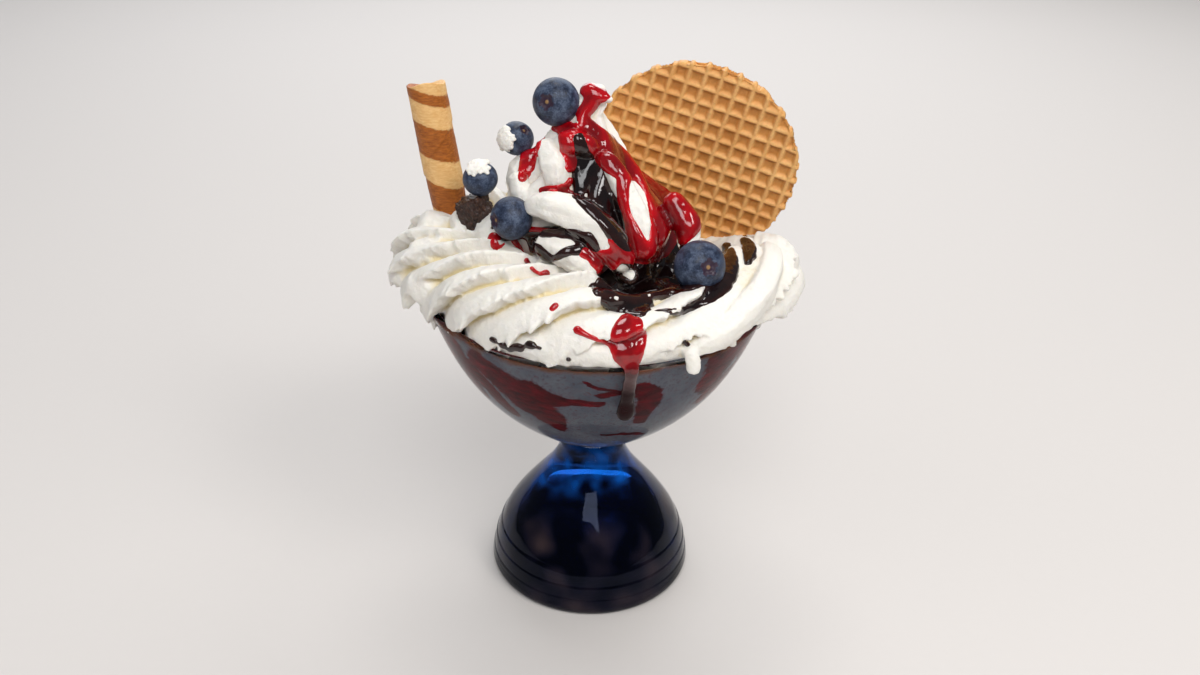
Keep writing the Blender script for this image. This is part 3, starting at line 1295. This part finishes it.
def buildWafer():
    way = wafer["high"] - wafer["low"]
    place = Matrix.Translation(wafer["low"]) @ way.to_track_quat("Z", "Y").to_matrix().to_4x4()
    length = way.length
    bm = bmesh.new()
    rows, columns = 150, 72
    made = bmesh.ops.create_grid(bm, x_segments=rows, y_segments=columns, size=0.5)
    for v in made["verts"]:
        share, angle = v.co.x + 0.5, (v.co.y + 0.5) * tau
        # the last rows fold over the end and go down into the dent
        body = min(1.0, share / 0.93)
        endShare = max(0.0, (share - 0.93) / 0.07)
        lip = (angle / tau - wafer["wraps"] * body) % 1.0
        slim = wafer["foot"] + (1.0 - wafer["foot"]) * min(1.0, body / 0.45) ** 0.8
        r = wafer["radius"] * (0.93 + 0.07 * lip ** 0.7) * slim
        r *= 1.0 + 0.015 * noise.noise(Vector((body * 30, 2 * math.cos(angle), 2 * math.sin(angle))))
        if share == 0.0:
            r = 0.0
        inner = r * (1.0 - 0.97 * endShare)
        if share == 1.0:
            inner = 0.0
        x, y = inner * math.cos(angle) + wafer["radius"] * (1.0 - slim), inner * math.sin(angle)
        rag = 0.5 * mm * math.sin(angle * 3 + 1.0) * (1 - endShare) * min(1.0, body ** 20)
        dent = -2.6 * mm * endShare ** 1.2 * (1.0 + 0.4 * noise.noise(Vector((x, y, 0)) * 700))
        z = body * (length + wafer["slant"] * x) + rag + dent
        v.co = (x, y, z)
    bmesh.ops.remove_doubles(bm, verts=bm.verts, dist=0.01 * mm)
    values = []
    for v in bm.verts:
        # bands slope down to the right as seen from the front
        aside = (place.to_3x3() @ Vector((v.co.x, v.co.y, 0.0))).x / mm
        sweep = v.co.z / mm + 0.45 * aside
        depths = [half - abs(sweep - middle) for middle, half in wafer["bands"]]
        values.append(min(1.0, max(0.0, 0.5 + max(depths) / 3.0)))
    bmesh.ops.recalc_face_normals(bm, faces=bm.faces)
    bmesh.ops.transform(bm, matrix=place, verts=bm.verts)
    obj = toObject("rolledWafer", bm, waferFinish())
    paint(obj.data, "band", values)
    obj.data.shade_smooth()
    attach(obj, "root")
    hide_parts("wafer_roll")


buildWafer()
print("wafer ready")


# Blueberries: centre, radius and the way the calyx faces
berries = {
    "places": (
        ((-14.0, -2.0, 176.0), 7.4, (-0.40, -0.85, 0.25)),
        ((-26.5, 2.0, 162.5), 5.5, (0.55, -0.45, 0.75)),
        ((-37.6, -5.0, 151.3), 5.6, (0.30, 0.10, -0.95)),
        ((-26.6, -20.0, 144.6), 6.7, (-0.80, -0.60, 0.10)),
        ((31.5, -27.0, 133.5), 8.0, (0.30, -0.85, 0.35)),
    ),
    "segments": 96,
}


def berryFinish():
    made = Finish("berrySkin", Roughness=0.45, Specular_IOR_Level=0.45)
    bloom = made.noise(2.6 * mm, detail=6.0, rough=0.65)
    fine = made.noise(0.5 * mm, detail=4.0, rough=0.7)
    mix = made.sum(bloom, made.spread(fine, 0.3, 0.7, -0.12, 0.12))
    skin = made.ramp(mix, (0.34, (0.008, 0.012, 0.028)), (0.50, (0.030, 0.045, 0.085)), (0.68, (0.095, 0.125, 0.19)))
    calyx = made.attribute("calyx")
    skin = made.blend(made.spread(calyx, 0.2, 0.6), skin, (0.035, 0.018, 0.035))
    skin = made.blend(made.spread(calyx, 0.7, 1.0), skin, (0.30, 0.17, 0.07))
    rough = made.spread(mix, 0.35, 0.65, 0.30, 0.62)
    return made.into(Base_Color=skin, Roughness=rough, Normal=made.bump(fine, 0.06 * mm))


berrySkin = berryFinish()


def buildBerry(number, centre, radius, facing):
    bm = bmesh.new()
    segments = berries["segments"]
    bmesh.ops.create_uvsphere(bm, u_segments=segments, v_segments=segments // 2, radius=1.0)
    values = []
    for v in bm.verts:
        away = math.acos(max(-1.0, min(1.0, v.co.z)))
        angle = math.atan2(v.co.y, v.co.x)
        star = 0.5 + 0.5 * math.cos(5 * angle + number)
        rim = 0.30 + 0.05 * star
        crown = math.exp(-((away - rim) / 0.055) ** 2) * (0.03 + 0.05 * star)
        sunk = -0.13 * min(1.0, max(0.0, (rim - away) / 0.12)) if away < rim else 0.0
        button = 0.05 * math.exp(-(away / 0.09) ** 2)
        uneven = 0.015 * noise.noise(v.co * 1.6 + Vector((number, 0, 0)))
        scale = 1.0 + crown + sunk + button + uneven
        values.append(1.0 if away < 0.10 else 0.6 if away < rim else 0.0)
        v.co = Vector((v.co.x * scale, v.co.y * scale, v.co.z * scale * 0.94)) * radius * mm
    turn = Vector(facing).to_track_quat("Z", "Y").to_matrix().to_4x4()
    bmesh.ops.transform(bm, matrix=Matrix.Translation(Vector(centre) * mm) @ turn, verts=bm.verts)
    obj = toObject(f"berry{number}", bm, berrySkin)
    paint(obj.data, "calyx", values)
    obj.data.shade_smooth()
    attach(obj, "root")
    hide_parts(f"blueberry_{number}")


for number, (centre, radius, facing) in enumerate(berries["places"], 1):
    buildBerry(number, centre, radius, facing)


def buildCreamDab(number, way, reach, count, seed):
    # Torn cream stuck to a berry, as many small lumps round a spot on it
    centre, radius, _ = berries["places"][number - 1]
    rng = random.Random(seed)
    way = Vector(way).normalized()
    bm = bmesh.new()
    for _ in range(count):
        spread = Vector([rng.gauss(0, 1) for _ in range(3)])
        spot = (way + spread.normalized() * reach * math.sqrt(rng.random())).normalized()
        half = rng.uniform(0.5, 1.0) * mm
        blob(bm, Vector(centre) * mm + spot * (radius * mm + 0.15 * half), (half, half, half * rng.uniform(0.6, 1.1)))
    obj = toObject(f"creamDab{number}", bm, whipped)
    remeshed(obj, 0.32 * mm)
    softened(obj, 4)
    roughened(obj, 0.7 * mm, 0.16 * mm, 30 + number)
    hollowness(obj.data, 20)
    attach(obj, "root")
    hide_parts("whipped_cream")


buildCreamDab(2, (-0.70, -0.62, 0.10), 0.72, 170, 4)
buildCreamDab(3, (-0.05, -0.35, 0.95), 0.66, 150, 5)
print("berries ready")


# Cake chunks
chunks = {
    "places": (
        ((-39.6, -6.0, 140.5), (9.5, 9.0, 9.5)),
        ((-28.6, -13.0, 140.0), (8.0, 8.0, 9.5)),
    ),
}


def cakeFinish():
    made = Finish("chocolateCake", Roughness=0.42, Specular_IOR_Level=0.5, Coat_Weight=0.25, Coat_Roughness=0.15)
    crumb = made.noise(1.2 * mm, detail=5.0, rough=0.7)
    colour = made.ramp(crumb, (0.30, (0.012, 0.005, 0.004)), (0.55, (0.045, 0.018, 0.011)), (0.80, (0.12, 0.05, 0.028)))
    skin = made.bump(crumb, 0.5 * mm)
    return made.into(Base_Color=colour, Normal=skin)


cake = cakeFinish()


def buildChunk(number, centre, size):
    bm = bmesh.new()
    bmesh.ops.create_cube(bm, size=1.0)
    bmesh.ops.subdivide_edges(bm, edges=bm.edges, cuts=30, use_grid_fill=True)
    for v in bm.verts:
        v.co *= 1.0 - 0.12 * v.co.length_squared
        v.co += 0.12 * noise.noise_vector(v.co * 2.3 + Vector(centre))
        v.co += 0.06 * noise.noise_vector(v.co * 7.0 + Vector(centre))
        pore = noise.noise(v.co * 15.0 + Vector(centre))
        v.co *= 1.0 - 0.16 * max(0.0, pore) + 0.04 * noise.noise(v.co * 30.0)
        v.co = Vector(a * b for a, b in zip(v.co, size)) * mm
    turn = Matrix.Rotation(centre[0], 3, "Z") @ Matrix.Rotation(0.4, 3, "X")
    bmesh.ops.rotate(bm, verts=bm.verts, matrix=turn)
    bmesh.ops.translate(bm, verts=bm.verts, vec=Vector(centre) * mm)
    bmesh.ops.recalc_face_normals(bm, faces=bm.faces)
    obj = toObject(f"cakeChunk{number}", bm, cake)
    obj.data.shade_smooth()
    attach(obj, "root")
    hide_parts(f"cake_{number}")


for number, (centre, size) in enumerate(chunks["places"], 1):
    buildChunk(number, centre, size)
print("cake ready")

print("size ready")
